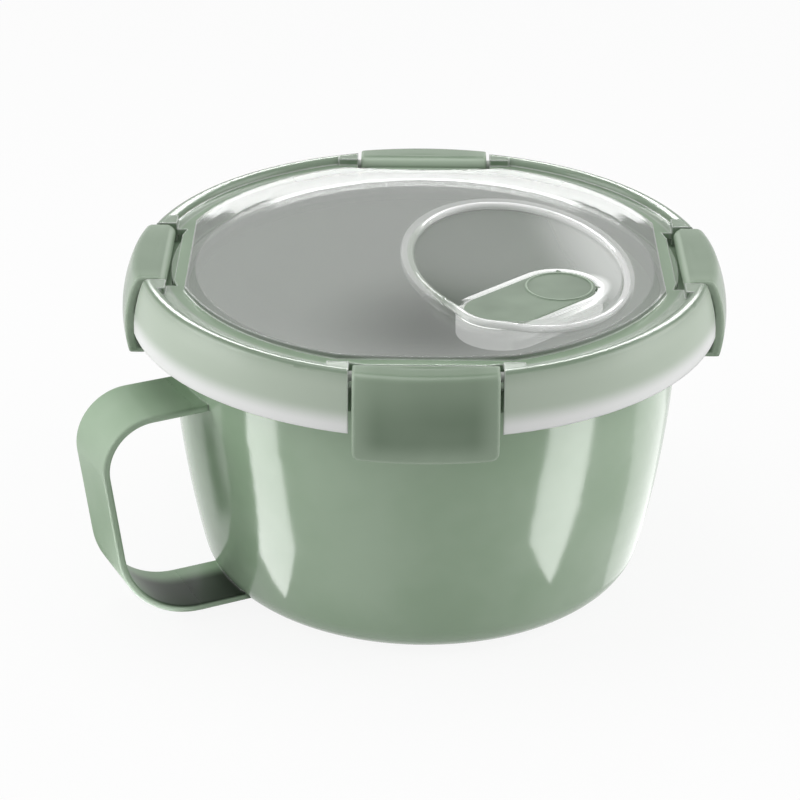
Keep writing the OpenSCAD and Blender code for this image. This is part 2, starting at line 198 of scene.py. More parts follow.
RIGHT_SPOT = (0.75, 0.0, 0.35)
SIDE_SIZE = (0.5, 0.6)
FLOOR_COLOUR = (0.90, 0.90, 0.90)
FLOOR_FADE = (0.4, 1.2)
FLOOR_WHITE = 0.9
SENSOR_WIDTH = 36.0
FAR_CLIP = 50.0


# Shader expressions


class Term:
    """A socket that takes part in Python expressions; each operator adds a Math node."""

    def __init__(self, finish, socket):
        self.finish = finish
        self.socket = socket

    def _math(self, operation, *terms):
        inputs = dict(enumerate(terms))
        return self.finish.node("ShaderNodeMath", {"operation": operation}, inputs)

    def __add__(self, other):
        return self._math("ADD", self, other)

    __radd__ = __add__

    def __sub__(self, other):
        return self._math("SUBTRACT", self, other)

    def __rsub__(self, other):
        return self._math("SUBTRACT", other, self)

    def __mul__(self, other):
        return self._math("MULTIPLY", self, other)

    __rmul__ = __mul__

    def __truediv__(self, other):
        return self._math("DIVIDE", self, other)

    def most(self, other):
        """The larger of two values."""
        return self._math("MAXIMUM", self, other)

    def least(self, other):
        """The smaller of two values."""
        return self._math("MINIMUM", self, other)

    def size(self):
        """The value without its sign."""
        return self._math("ABSOLUTE", self)

    def root(self):
        """The square root."""
        return self._math("SQRT", self)

    def between(self, low, high, soft):
        """1 between two values and 0 outside them, with soft ends."""
        return self.step(low - soft, low + soft) * (1.0 - self.step(high - soft, high + soft))

    def step(self, low, high):
        """0 below low, 1 above high, and smooth between them."""
        ends = {"Value": self, "From Min": low, "From Max": high}
        return self.finish.node("ShaderNodeMapRange", {"interpolation_type": "SMOOTHSTEP"}, ends)


class Finish:
    """A material or a world, and the one way in which its nodes are made and joined."""

    def __init__(self, name, world=False):
        self.made = (bpy.data.worlds if world else bpy.data.materials).new(name)
        self.made.use_nodes = True
        self.tree = self.made.node_tree
        self.tree.nodes.clear()
        self.output = self.tree.nodes.new("ShaderNodeOutputWorld" if world else "ShaderNodeOutputMaterial")

    def node(self, kind, settings=None, inputs=None, output=0):
        """Adds a node of a kind, sets it up, feeds its sockets and returns one output."""
        made = self.tree.nodes.new(kind)
        for key, value in (settings or {}).items():
            setattr(made, key, value)
        for key, value in (inputs or {}).items():
            socket = made.inputs[key]
            if isinstance(value, Term):
                self.tree.links.new(value.socket, socket)
            else:
                socket.default_value = value
        return Term(self, made.outputs[output])

    def mix(self, share, first, second):
        """A colour between two others."""
        settings = {"data_type": "RGBA"}
        return self.node("ShaderNodeMix", settings, {0: share, 6: first, 7: second}, output=2)

    def noise(self, place, lumps, detail=3.0):
        """Soft noise about 0.5, with so many lumps per metre."""
        return self.node("ShaderNodeTexNoise", {}, {"Vector": place, "Scale": lumps, "Detail": detail})

    def place(self):
        """Where the point lies in the part's frame."""
        return self.node("ShaderNodeTexCoord", output="Object")

    def edge_normal(self, radius):
        """The surface's normal, turned as if every edge had this radius."""
        return self.node("ShaderNodeBevel", {"samples": 4}, {"Radius": radius})

    def edge_mask(self, rounded, first, full):
        """1 along the edges that edge_normal rounds, 0 on open surfaces."""
        plain = self.node("ShaderNodeNewGeometry", output="Normal")
        settings = {"operation": "DOT_PRODUCT"}
        facing = self.node("ShaderNodeVectorMath", settings, {0: rounded, 1: plain}, output="Value")
        return (1.0 - facing).step(first, full)

    def facing_up(self):
        """1 on surfaces that face up, 0 on upright walls and -1 on surfaces that face down."""
        normal = self.node("ShaderNodeNewGeometry", output="Normal")
        return self.node("ShaderNodeSeparateXYZ", {}, {0: normal}, output="Z")

    def relief(self, height, distance, normal):
        """A bump of a height field on a normal."""
        return self.node("ShaderNodeBump", {}, {"Height": height, "Distance": distance, "Normal": normal})

    def principled(self, **inputs):
        """A Principled shader; names have underscores for blanks."""
        named = {key.replace("_", " "): value for key, value in inputs.items()}
        return self.node("ShaderNodeBsdfPrincipled", {}, named)

    def done(self, shader):
        """Joins the shader to the output and returns what was made."""
        self.tree.links.new(shader.socket, self.output.inputs["Surface"])
        return self.made


def opaque(colour):
    """A colour's three numbers as the four that a colour socket takes."""
    return (*colour, 1.0)


# Places on the mug


def heading(turn):
    """The level direction at an angle from +X."""
    return math.cos(turn), math.sin(turn), 0.0


def photo_point(right, away, up=0.0):
    """A point given as the photograph sees it: to the right, away from the camera, and up."""
    return Matrix.Rotation(-LID_TURN, 4, "Z") @ Vector((right, away, up))


def height_of(finish, place):
    """Height of each point above the table."""
    return finish.node("ShaderNodeSeparateXYZ", {}, {0: place}, output="Z")


def radius_of(finish, place):
    """Distance of each point from the upright line through zero."""
    level = (1.0, 1.0, 0.0)
    flat = finish.node("ShaderNodeVectorMath", {"operation": "MULTIPLY"}, {0: place, 1: level})
    return finish.node("ShaderNodeVectorMath", {"operation": "LENGTH"}, {0: flat}, output="Value")


def offset_from(finish, place, middle):
    """Way to each point from a middle."""
    return finish.node("ShaderNodeVectorMath", {"operation": "SUBTRACT"}, {0: place, 1: middle})


def along(finish, place, middle, direction):
    """Distance of each point from a middle, measured along a direction."""
    inputs = {0: offset_from(finish, place, middle), 1: direction}
    return finish.node("ShaderNodeVectorMath", {"operation": "DOT_PRODUCT"}, inputs, output="Value")


def pocket_reach(finish, place, look):
    """Distance of each point from the flap's middle line, in plan."""
    run = heading(look.flap_turn)
    cross = (-run[1], run[0], 0.0)
    middle = (*look.flap_middle, 0.0)
    past_end = (along(finish, place, middle, run).size() - look.flap_span / 2).most(0.0)
    beside = along(finish, place, middle, cross)
    return (past_end * past_end + beside * beside).root()


def scoop_shares(finish, place, look):
    """How far out each point lies along the scoop's width and its length: 1 at its ends."""
    run = heading(look.scoop_turn)
    cross = (-run[1], run[0], 0.0)
    middle = (*look.scoop_middle, 0.0)
    wide = along(finish, place, middle, run) / look.scoop_half[0]
    long = along(finish, place, middle, cross) / look.scoop_half[1]
    return wide, long


# Finishes of the pieces


def moulded_plastic(name, colour, edge_colour, edge_radius, roughness, flow=0.5, edge_highlight=SOFT_HIGHLIGHT,
                    paler_at=None, satin_at=None, shade_at=None):
    """Opaque coloured plastic: faint flow clouds, satin skin, a painted highlight along its edges, and
    places with more painted highlight, more roughness or painted shade.
    """
    finish = Finish(name)
    place = finish.place()
    clouds = finish.noise(place, FLOW_LUMPS)
    grain = finish.noise(place, SKIN_LUMPS, FINE_DETAIL)
    rounded = finish.edge_normal(edge_radius)
    body = finish.mix(clouds.step(*FLOW_CLOUDS) * flow, opaque(colour), opaque(edge_colour))
    # The pale line along the edges is a painted highlight.
    share, first, full = edge_highlight
    line = finish.edge_mask(rounded, first, full) * share
    paler = paler_at(finish, place, line) if paler_at else line
    tint = finish.mix(paler, body, opaque(edge_colour))
    if shade_at:
        tint = finish.mix(shade_at(finish, place), tint, BLACK)
    skin = clouds * FLOW_ROUGHNESS + (roughness + grain * SKIN_ROUGHNESS)
    if satin_at:
        skin = skin + satin_at(finish, place)
    return finish.done(finish.principled(
        Base_Color=tint,
        Roughness=skin,
        Normal=finish.relief(grain, SKIN_DEPTH, rounded),
        IOR=PLASTIC_IOR,
    ))


def strap_satin(finish, place, look):
    """How much rougher the strap handle is than the bowl."""
    outward = along(finish, place, MUG_AXIS, TO_HANDLE)
    return outward.step(*STRAP_START) * look.strap_satin


def loop_shade(finish, place, look):
    """The shade in the handle's loop, on the upper face of its lower arm."""
    outward = along(finish, place, MUG_AXIS, TO_HANDLE)
    rearward = along(finish, place, MUG_AXIS, TO_REAR)
    face = finish.facing_up().step(*LOOP_FACING) * outward.step(*LOOP_START)
    low = 1.0 - height_of(finish, place).step(*LOOP_LOW)
    front = 1.0 - rearward.step(*LOOP_FRONT)
    return face * low * front * look.loop_shade


def flap_paler(finish, place, line, look):
    """Painted highlights along the flap's edges and on the raised ring on it."""
    run = Vector(heading(look.flap_turn))
    middle = Vector((*look.flap_middle, 0.0)) + run * look.flap_span / 2
    reach = radius_of(finish, offset_from(finish, place, middle))
    ring = reach.between(look.mark_radius - look.mark_width, look.mark_radius, MARK_BLEND)
    return line.most(ring)


def clip_paler(finish, place, line, look):
    """Painted highlights on the clips: along their edges but for their round shoulder, a soft border round
    their face, their top and the back of their plates.
    """
    one = along(finish, place, MUG_AXIS, photo_point(1.0, 0.0)).size()
    other = along(finish, place, MUG_AXIS, photo_point(0.0, 1.0)).size()
    beside, outward = one.least(other), one.most(other)
    height = height_of(finish, place)
    half, deep = look.clip_half, look.clip_margin
    sides = beside.step(half - deep, half)
    foot = 1.0 - height.step(CLIP_LOW.z, CLIP_LOW.z + deep)
    head_start, head_full = (CLIP_HIGH.z - margins * deep for margins in HEAD_MARGINS)
    head = height.step(head_start, head_full) * HEAD_SHARE
    border = 1.0 - (1.0 - sides) * (1.0 - foot) * (1.0 - head)
    back = 1.0 - outward.step(look.clip_back, look.clip_back + BACK_BLEND)
    corner_start, corner_full = (half - blend for blend in CORNER_BLEND)
    corner = beside.step(corner_start, corner_full).most(foot)
    # The pale edges, border, top and back are all painted highlight.
    return (line * corner.most(back)).most(border * look.border_share).most(back * BACK_SHARE)


def lid_regions(finish, place, look):
    """Masks of the lid's regions: 1 in each one and 0 outside it."""
    across, height = radius_of(finish, place), height_of(finish, place)
    level = finish.facing_up().size().step(*LEVEL_FACE)
    ring = across.step(*RING_START)
    plug_root = height.between(*ROOT_HEIGHT, ROOT_HEIGHT_BLEND)
    plug_root = plug_root * across.between(*ROOT_RADIUS, ROOT_RADIUS_BLEND)
    groove = across.step(*GROOVE_START) * (1.0 - height.step(*GROOVE_TOP))
    groove = groove * (1.0 - ring) * (1.0 - plug_root)
    wide, long = scoop_shares(finish, place, look)
    share = wide * wide + long * long
    scoop = 1.0 - share.step(*SCOOP_EDGE)
    flank = wide.step(*SCOOP_FLANK) * scoop
    upper = height.step(*PANEL_UNDERSIDE)
    reach = pocket_reach(finish, place, look)
    wall = reach.between(*POCKET_WALL, POCKET_WALL_BLEND) * (1.0 - upper)
    clear = (1.0 - reach.step(*POCKET_CLEAR)) * upper
    cheek = reach.between(*POCKET_CHEEK, POCKET_CHEEK_BLEND) * wide.step(*SCOOP_CHEEK)
    return SimpleNamespace(
        ring=ring,
        crown=level.most(1.0 - across.step(*CROWN_END)),
        hem=(1.0 - height.step(*HEM_TOP)) * ring,
        groove=groove,
        plug=groove * (1.0 - height.step(*PLUG_TOP)),
        plug_root=plug_root,
        scoop=scoop,
        lip=share.between(*SCOOP_LIP, SCOOP_LIP_BLEND),
        flank=flank,
        deep=(1.0 - long.step(*SCOOP_DEEP)) * scoop * (1.0 - flank),
        wall=wall * (1.0 - level * LEVEL_LESS),
        clear=clear * (1.0 - scoop),
        cheek=cheek * scoop,
    )


def lid_tint(finish, place, lid, clouds, look):
    """The lid's colour: a grey panel with a painted soft shade, a green ring and groove, a pale hem and
    pocket wall, and painted highlights on its edges and on the scoop's flank and cheek.
    """
    panel = finish.mix(clouds * PANEL_CLOUDS, opaque(look.panel_colour), opaque(look.frost_colour))
    offset = offset_from(finish, place, (*look.shade_middle, 0.0))
    shade = 1.0 - radius_of(finish, offset).step(0.0, look.shade_reach)
    shade = shade * (1.0 - lid.clear) * look.panel_shade
    panel = finish.mix(shade, panel, opaque(SHADE_DARK * part for part in look.panel_colour))
    frost = finish.mix(lid.crown, opaque(look.frost_colour), opaque(look.crown_colour))
    skin = finish.mix(lid.ring, panel, frost)
    skin = finish.mix(lid.groove, skin, opaque(look.bowl_colour))
    # Painted highlights on the edges, flank and cheek; the hem and the pocket's wall are pale milky
    # plastic.
    pale = (lid.edge * EDGE_HIGHLIGHT).most(lid.hem).most(lid.wall)
    pale = pale.most(lid.flank * FLANK_HIGHLIGHT).most(lid.cheek * CHEEK_HIGHLIGHT)
    return finish.mix(pale, skin, opaque(look.edge_colour))


def lid_roughness(lid, clouds, look):
    """The lid's roughness: a polished panel, a frosted ring and a satin scoop."""
    frost = lid.ring * (look.frost_roughness - look.panel_roughness)
    satin = (lid.scoop * SCOOP_ROUGHER).most(lid.lip * LIP_ROUGHER)
    sheen = lid.ring * lid.crown * CROWN_SMOOTHER
    return frost + satin + clouds * CLOUD_ROUGHER - sheen + look.panel_roughness


def lid_cover(lid, look):
    """How much each region of the lid hides of what lies behind it."""
    cover = lid.ring * (look.frost_cover - look.panel_cover) + look.panel_cover
    cover = cover - lid.groove * (look.panel_cover - look.groove_cover)
    cover = cover - lid.scoop * (look.panel_cover - look.scoop_cover)
    cover = cover - lid.plug * (look.groove_cover - look.plug_cover)
    cover = cover + lid.flank * FLANK_COVER + lid.cheek * CHEEK_COVER - lid.deep * DEEP_CLEAR
    cover = cover + lid.hem * (look.hem_cover - look.frost_cover)
    cover = cover + lid.wall * look.wall_cover - lid.clear * look.clear_share
    return cover + lid.edge * look.edge_cover


def lid_plastic(look):
    """See-through plastic: polished and grey on the panel, frosted and pale on the ring."""
    finish = Finish("see_through_lid")
    place = finish.place()
    clouds = finish.noise(place, LID_LUMPS)
    grain = finish.noise(place, FROST_LUMPS, FINE_DETAIL)
    rounded = finish.edge_normal(look.lid_edge)
    lid = lid_regions(finish, place, look)
    # The lid's edges, which lid_tint paints with a pale highlight.
    lid.edge = finish.edge_mask(rounded, *EDGE_TURN) * (1.0 - lid.plug.most(lid.plug_root))
    return finish.done(finish.principled(
        Base_Color=lid_tint(finish, place, lid, clouds, look),
        Roughness=lid_roughness(lid, clouds, look),
        Alpha=lid_cover(lid, look),
        # Painted glow: the pocket's milky wall shines by itself, in place of light that passes through the
        # plastic.
        Emission_Color=finish.mix(lid.wall, BLACK, opaque(look.edge_colour)),
        Emission_Strength=look.wall_glow,
        Normal=finish.relief(grain * lid.ring, FROST_DEPTH, rounded),
        IOR=PLASTIC_IOR,
    ))


def bead_plastic(look):
    """Polished plastic of the scoop's rim, a little cloudy, with a painted highlight at its ends and on
    one side.
    """
    finish = Finish("scoop_rim_plastic")
    place = finish.place()
    clouds = finish.noise(place, BEAD_LUMPS)
    wide, long = scoop_shares(finish, place, look)
    # The paler, denser ends and side are a painted highlight.
    ends = long.size().step(*BEAD_ENDS).most(wide.step(*BEAD_SIDE))
    return finish.done(finish.principled(
        Base_Color=finish.mix(ends, opaque(look.frost_colour), opaque(look.edge_colour)),
        Roughness=clouds * BEAD_CLOUD_ROUGHER + look.panel_roughness,
        Alpha=clouds * BEAD_CLOUD_COVER + ends * BEAD_END_COVER + look.bead_cover,
        IOR=PLASTIC_IOR,
    ))


def soft_rubber(name, colour):
    """Matte seal rubber with a fine dusty grain."""
    finish = Finish(name)
    place = finish.place()
    grain = finish.noise(place, RUBBER_LUMPS)
    plain = finish.node("ShaderNodeNewGeometry", output="Normal")
    darker = opaque(RUBBER_DARK * part for part in colour)
    return finish.done(finish.principled(
        Base_Color=finish.mix(grain, darker, opaque(colour)),
        Roughness=RUBBER_ROUGHNESS + grain * RUBBER_GRAIN,
        Normal=finish.relief(grain, RUBBER_DEPTH, plain),
    ))


# Working on meshes


def deselect():
    """Leaves object mode with nothing selected."""
    if bpy.context.object and bpy.context.object.mode != "OBJECT":
        bpy.ops.object.mode_set(mode="OBJECT")
    bpy.ops.object.select_all(action="DESELECT")


def pick(piece):
    """Makes one piece the only selected one."""
    deselect()
    piece.select_set(True)
    bpy.context.view_layer.objects.active = piece


def copy_node(node, name):
    """A new piece with its own mesh in the shape of a CAD node, its triangles merged."""
    pick(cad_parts[node])
    bpy.ops.object.duplicate()
    piece = bpy.context.object
    piece.name = name
    piece.parent = None
    for key in list(piece.keys()):
        del piece[key]
    bpy.ops.object.mode_set(mode="EDIT")
    bpy.ops.mesh.select_all(action="SELECT")
    bpy.ops.mesh.remove_doubles(threshold=MERGE_WITHIN)
    bpy.ops.object.mode_set(mode="OBJECT")
    return piece


def apply_modifier(piece, kind, **settings):
    """Adds a modifier, sets it and applies it."""
    pick(piece)
    modifier = piece.modifiers.new(kind.lower(), kind)
    for key, value in settings.items():
        setattr(modifier, key, value)
    bpy.ops.object.modifier_apply(modifier=modifier.name)


def soften(piece, voxel, passes):
    """Rebuilds a piece on a fine grid and rounds its edges."""
    apply_modifier(piece, "REMESH", mode="VOXEL", voxel_size=voxel)
    apply_modifier(piece, "SMOOTH", factor=SMOOTHING, iterations=passes)
    pick(piece)
    bpy.ops.object.shade_smooth()


def wear(piece, material):
    """Gives a piece one material."""
    piece.data.materials.clear()
    piece.data.materials.append(material)


def paint_node(node, material):
    """Gives a CAD node a better material."""
    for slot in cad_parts[node].material_slots:
        slot.material = material


def stand_for(piece, node, body):
    """Puts a finished piece in a CAD node's place."""
    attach(piece, body)
    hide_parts(node)


# Settings


class MugLook(bpy.types.PropertyGroup):
    """Colours, finishes and roundings of the mug."""

    bowl_colour: bpy.props.FloatVectorProperty(
        name="Bowl green", description="Plastic of the bowl and handle",
        subtype="COLOR", default=(0.295, 0.412, 0.280))
    clip_colour: bpy.props.FloatVectorProperty(
        name="Clip green", description="Plastic of the clips",
        subtype="COLOR", default=(0.150, 0.220, 0.142))
    # Colour of the clips' flow clouds and of their painted highlights.
    clip_edge_colour: bpy.props.FloatVectorProperty(
        name="Clip edge green", description="Edges of the clips",
        subtype="COLOR", default=(0.500, 0.610, 0.480))
    flap_colour: bpy.props.FloatVectorProperty(
        name="Flap green", description="Plastic of the vent flap",
        subtype="COLOR", default=(0.182, 0.243, 0.174))
    # Colour of the bowl's and flap's flow clouds, and of the painted highlight along their edges.
    pale_green: bpy.props.FloatVectorProperty(
        name="Edge green", description="Green plastic where it is thin",
        subtype="COLOR", default=(0.420, 0.530, 0.405))
    panel_colour: bpy.props.FloatVectorProperty(
        name="Panel grey", description="See-through panel of the lid",
        subtype="COLOR", default=(0.585, 0.595, 0.585))
    frost_colour: bpy.props.FloatVectorProperty(
        name="Frosted ring", description="Frosted ring of the lid",
        subtype="COLOR", default=(0.530, 0.617, 0.510))
    crown_colour: bpy.props.FloatVectorProperty(
        name="Ring crown", description="Level top of the ring",
        subtype="COLOR", default=(0.215, 0.295, 0.205))
    # Pale of the lid's hem and pocket wall, and colour of the lid's painted highlights and glow.
    edge_colour: bpy.props.FloatVectorProperty(
        name="Lid edge", description="Edges of the lid",
        subtype="COLOR", default=(0.92, 0.93, 0.92))
    seal_colour: bpy.props.FloatVectorProperty(
        name="Seal", description="Soft seals",
        subtype="COLOR", default=(0.40, 0.47, 0.39))
    pin_colour: bpy.props.FloatVectorProperty(
        name="Pins", description="Hinge pins",
        subtype="COLOR", default=(0.74, 0.76, 0.73))
    panel_cover: bpy.props.FloatProperty(
        name="Panel cover", description="How much the panel hides",
        subtype="FACTOR", default=0.40, min=0, max=1)
    frost_cover: bpy.props.FloatProperty(
        name="Frost cover", description="How much the ring hides",
        subtype="FACTOR", default=0.88, min=0, max=1)
    scoop_cover: bpy.props.FloatProperty(
        name="Scoop cover", description="How much the scoop hides",
        subtype="FACTOR", default=0.22, min=0, max=1)
    groove_cover: bpy.props.FloatProperty(
        name="Groove cover", description="How much the groove hides",
        subtype="FACTOR", default=0.82, min=0, max=1)
    plug_cover: bpy.props.FloatProperty(
        name="Plug cover", description="How much the plug hides",
        subtype="FACTOR", default=0.06, min=0, max=1)
    panel_shade: bpy.props.FloatProperty(
        name="Panel shade", description="How dark the panel is in front of the scoop",
        subtype="FACTOR", default=0.85, min=0, max=1)
    shade_reach: bpy.props.FloatProperty(
        name="Shade reach", description="How far the shade on the panel reaches",
        unit="LENGTH", default=42.0 * MM)
    shade_middle: bpy.props.FloatVectorProperty(
        name="Shade", description="Middle of the shade on the panel",
        subtype="XYZ", size=2, unit="LENGTH", default=(-14.0 * MM, -39.0 * MM))
    hem_cover: bpy.props.FloatProperty(
        name="Hem cover", description="How much the skirt's hem hides",
        subtype="FACTOR", default=0.92, min=0, max=1)
    wall_cover: bpy.props.FloatProperty(
        name="Pocket cover", description="How much more the pocket's wall hides",
        subtype="FACTOR", default=0.55, min=0, max=1)
    clear_share: bpy.props.FloatProperty(
        name="Clear round pocket", description="How much less the panel hides round the pocket",
        subtype="FACTOR", default=0.32, min=0, max=1)
    # A painted glow on the pocket's wall, made with emission.
    wall_glow: bpy.props.FloatProperty(
        name="Pocket glow", description="Light that the pocket's milky wall passes on",
        default=0.46, min=0)
    bead_cover: bpy.props.FloatProperty(
        name="Rim cover", description="How much the scoop's rim hides",
        subtype="FACTOR", default=0.24, min=0, max=1)
    edge_cover: bpy.props.FloatProperty(
        name="Edge cover", description="How much more the lid's edges hide",
        subtype="FACTOR", default=0.3, min=0, max=1)
    panel_roughness: bpy.props.FloatProperty(
        name="Panel roughness", description="Roughness of the panel",
        subtype="FACTOR", default=0.04, min=0, max=1)
    frost_roughness: bpy.props.FloatProperty(
        name="Ring roughness", description="Roughness of the ring",
        subtype="FACTOR", default=0.32, min=0, max=1)
    green_roughness: bpy.props.FloatProperty(
        name="Green roughness", description="Roughness of the green plastic",
        subtype="FACTOR", default=0.06, min=0, max=1)
    strap_satin: bpy.props.FloatProperty(
        name="Strap satin", description="How much rougher the handle is than the bowl",
        subtype="FACTOR", default=0.24, min=0, max=1)
    loop_shade: bpy.props.FloatProperty(
        name="Loop shade", description="How dark the handle's lower arm is inside the loop",
        subtype="FACTOR", default=0.9, min=0, max=1)
    moulded_edge: bpy.props.FloatProperty(
        name="Bowl edges", description="Radius on the bowl's edges",
        unit="LENGTH", default=0.8 * MM)
    lid_edge: bpy.props.FloatProperty(
        name="Lid edges", description="Radius on the lid's edges",
        unit="LENGTH", default=0.7 * MM)
    clip_grid: bpy.props.FloatProperty(
        name="Clip grid", description="Grid on which the clips are rounded",
        unit="LENGTH", default=0.32 * MM)
    clip_passes: bpy.props.IntProperty(
        name="Clip rounding", description="Smoothing passes on the clips",
        default=10, min=1)
    strap_edge: bpy.props.FloatProperty(
        name="Strap edges", description="Rounding of the handle's edges",
        unit="LENGTH", default=0.75 * MM)
    clip_edge: bpy.props.FloatProperty(
        name="Clip edges", description="Width of the pale line round the clips",
        unit="LENGTH", default=1.3 * MM)
    clip_margin: bpy.props.FloatProperty(
        name="Clip margin", description="Width of the paler margin of the clips",
        unit="LENGTH", default=7.0 * MM)
    clip_half: bpy.props.FloatProperty(
        name="Clip half width", description="Half the width of a clip",
        unit="LENGTH", default=18.15 * MM)
    clip_back: bpy.props.FloatProperty(
        name="Clip back", description="How far from the axis the clips' plates end",
        unit="LENGTH", default=69.0 * MM)
    border_share: bpy.props.FloatProperty(
        name="Clip border", description="How much paler the clips are at their border",
        subtype="FACTOR", default=0.34, min=0, max=1)
    mark_radius: bpy.props.FloatProperty(
        name="Flap ring", description="Radius of the raised ring on the flap",
        unit="LENGTH", default=9.0 * MM)
    mark_width: bpy.props.FloatProperty(
        name="Flap ring width", description="Width of the raised ring",
        unit="LENGTH", default=0.5 * MM)
    rim_bead: bpy.props.FloatProperty(
        name="Scoop rim", description="Radius of the bead round the scoop",
        unit="LENGTH", default=1.05 * MM)
    rim_out: bpy.props.FloatProperty(
        name="Rim outside", description="How far outside the scoop's edge the bead lies",
        unit="LENGTH", default=0.9 * MM)
    rim_sunk: bpy.props.FloatProperty(
        name="Rim sunk", description="How far the bead's middle lies under the panel",
        unit="LENGTH", default=0.65 * MM)
    panel_top: bpy.props.FloatProperty(
        name="Panel top", description="Height of the lid's level panel",
        unit="LENGTH", default=88.0 * MM)
    scoop_middle: bpy.props.FloatVectorProperty(
        name="Scoop", description="Middle of the scoop on the lid",
        subtype="XYZ", size=2, unit="LENGTH", default=(21.76 * MM, -11.28 * MM))
    scoop_half: bpy.props.FloatVectorProperty(
        name="Scoop size", description="Half width and half length of the scoop",
        subtype="XYZ", size=2, unit="LENGTH", default=(27.0 * MM, 40.5 * MM))
    scoop_turn: bpy.props.FloatProperty(
        name="Scoop turn", description="Turn of the scoop on the lid",
        subtype="ANGLE", default=math.radians(-14))
    flap_middle: bpy.props.FloatVectorProperty(
        name="Flap", description="Middle of the flap on the lid",
        subtype="XYZ", size=2, unit="LENGTH", default=(15.73 * MM, -30.48 * MM))
    flap_span: bpy.props.FloatProperty(
        name="Flap span", description="Distance between the middles of the flap's round ends",
        unit="LENGTH", default=22.0 * MM)
    flap_turn: bpy.props.FloatProperty(
        name="Flap turn", description="Direction of the flap on the lid",
        subtype="ANGLE", default=math.radians(18))


class MugStudio(bpy.types.PropertyGroup):
    """Camera, lights and floor."""

    lens: bpy.props.FloatProperty(
        name="Lens", description="Focal length",
        subtype="DISTANCE_CAMERA", default=124.74)
    eye: bpy.props.FloatVectorProperty(
        name="Camera", description="Where the camera stands",
        subtype="TRANSLATION", default=(-0.3046, -0.6100, 0.3835))
    aim: bpy.props.FloatVectorProperty(
        name="Aim", description="What the camera looks at",
        subtype="TRANSLATION", default=(-0.00571, 0.00278, 0.04618))
    roll: bpy.props.FloatProperty(
        name="Roll", description="Turn of the camera about its view",
        subtype="ANGLE", default=0.008)
    fill: bpy.props.FloatProperty(
        name="Fill", description="Strength of the light from all round",
        default=0.40, min=0)
    key: bpy.props.FloatProperty(
        name="Overhead", description="Power of the large overhead light",
        subtype="POWER", default=2.2, min=0)
    left_side: bpy.props.FloatProperty(
        name="Left", description="Power of the light at the left",
        subtype="POWER", default=3.0, min=0)
    right_side: bpy.props.FloatProperty(
        name="Right", description="Power of the light at the right",
        subtype="POWER", default=2.7, min=0)
    strip: bpy.props.FloatProperty(
        name="Cards", description="Brightness of the cards in the gloss",
        default=6.8, min=0)
    far_strip: bpy.props.FloatProperty(
        name="Far card", description="Brightness of the card at the far right",
        default=1.8, min=0)
    rear: bpy.props.FloatProperty(
        name="Rear card", description="Brightness of the card behind in the gloss",
        default=17.0, min=0)
    floor_size: bpy.props.FloatProperty(
        name="Floor", description="Width of the floor",
        unit="LENGTH", default=8.0)


# Pieces


def strap_side(face):
    """Whether a face of the bowl lies on a flat side of the strap."""
    return abs(face.normal.y) > STRAP_FLAT and face.center.x < STRAP_INNER


def merge_strap_sides(bowl):
    """Joins the triangles on the flat sides of the strap."""
    for face in bowl.data.polygons:
        face.select = strap_side(face)
    bpy.ops.object.mode_set(mode="EDIT")
    bpy.ops.mesh.select_mode(type="FACE")
    bpy.ops.mesh.dissolve_limited(angle_limit=SAME_PLANE)
    bpy.ops.mesh.select_mode(type="EDGE")
    bpy.ops.mesh.select_all(action="DESELECT")
    bpy.ops.object.mode_set(mode="OBJECT")


def pick_strap_edges(bowl, flank):
    """Selects the edges round the flat sides of the strap."""
    points = [point.co for point in bowl.data.vertices]
    rims = [p.x < STRAP_INNER and abs(abs(p.y) - flank) < ON_FLANK for p in points]
    for edge in bowl.data.edges:
        one, other = edge.vertices
        edge.select = rims[one] and rims[other] and points[one].y * points[other].y > 0


def turn_back(bowl, flank):
    """Turns back the ends of the strap's rounding that slid out along the bowl's wall."""
    for point in bowl.data.vertices:
        past = abs(point.co.y) - flank
        if point.select and past > 0.0:
            point.co.y -= math.copysign(2.0 * past, point.co.y)


class MUG_OT_bowl(bpy.types.Operator):
    """Rounds the strap handle and dresses the bowl."""

    bl_idname = "mug.bowl"
    bl_label = "Bowl"

    def execute(self, context):
        """Makes a copy of the bowl, rounds its strap and gives it green plastic."""
        look = context.scene.mug_look
        bowl = copy_node("bowl", "bowl_moulded")
        bpy.ops.mesh.customdata_custom_splitnormals_clear()
        flank = max(abs(face.center.y) for face in bowl.data.polygons if strap_side(face))
        merge_strap_sides(bowl)
        pick_strap_edges(bowl, flank)
        bpy.ops.object.mode_set(mode="EDIT")
        bpy.ops.mesh.bevel(
            offset=look.strap_edge, segments=STRAP_SEGMENTS, affect="EDGES", clamp_overlap=False)
        bpy.ops.object.mode_set(mode="OBJECT")
        turn_back(bowl, flank)
        bpy.ops.object.shade_smooth_by_angle(angle=SMOOTH_UNDER)
        apply_modifier(bowl, "WEIGHTED_NORMAL", keep_sharp=True)
        wear(bowl, moulded_plastic(
            "bowl_plastic", look.bowl_colour, look.pale_green, look.moulded_edge, look.green_roughness,
            satin_at=lambda finish, place: strap_satin(finish, place, look),
            shade_at=lambda finish, place: loop_shade(finish, place, look)))
        stand_for(bowl, "bowl", "bowl")
        return {"FINISHED"}


